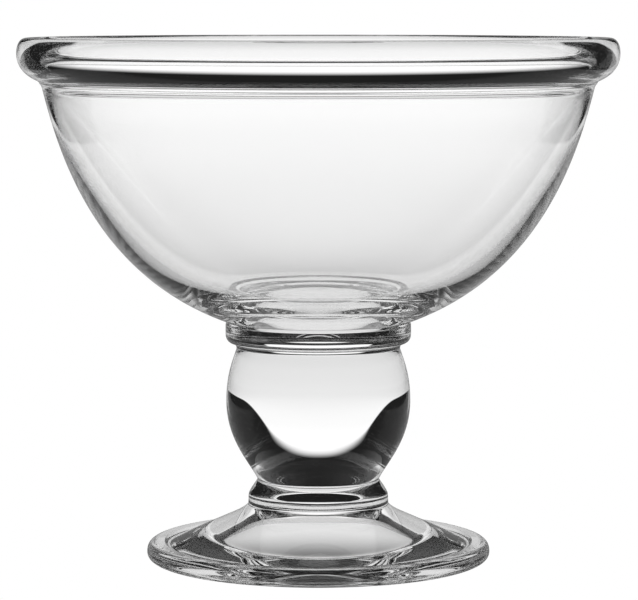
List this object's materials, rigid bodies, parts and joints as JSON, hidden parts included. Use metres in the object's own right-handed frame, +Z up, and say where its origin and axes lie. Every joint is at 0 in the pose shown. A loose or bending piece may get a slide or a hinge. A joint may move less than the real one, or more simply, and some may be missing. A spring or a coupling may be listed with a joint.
{
  "type": "ice cream coupe",
  "caption": "Footed clear glass coupe for ice cream: deep beaded bowl on a short ball-knop stem with collars and a conical foot, hollow underneath.",
  "frame": {"origin": "centre of the flat ring that the foot stands on", "axes": "+Z up along the coupe's axis of revolution; +X to the right in the picture, +Y away from its camera"},
  "size_m": [0.12, 0.12, 0.1051],
  "materials": {
    "foot_glass": "fire-polished clear glass",
    "lower_collar_glass": "fire-polished clear glass",
    "ball_glass": "fire-polished clear glass",
    "upper_collar_glass": "fire-polished clear glass",
    "bowl_glass": "fire-polished clear glass",
    "rim_glass": "fire-polished clear glass"
  },
  "bodies": {
    "root": {"foot": "foot_glass", "lower_collar": "lower_collar_glass", "ball_knop": "ball_glass", "upper_collar": "upper_collar_glass", "bowl": "bowl_glass", "rim_bead": "rim_glass"}
  },
  "joints": []
}
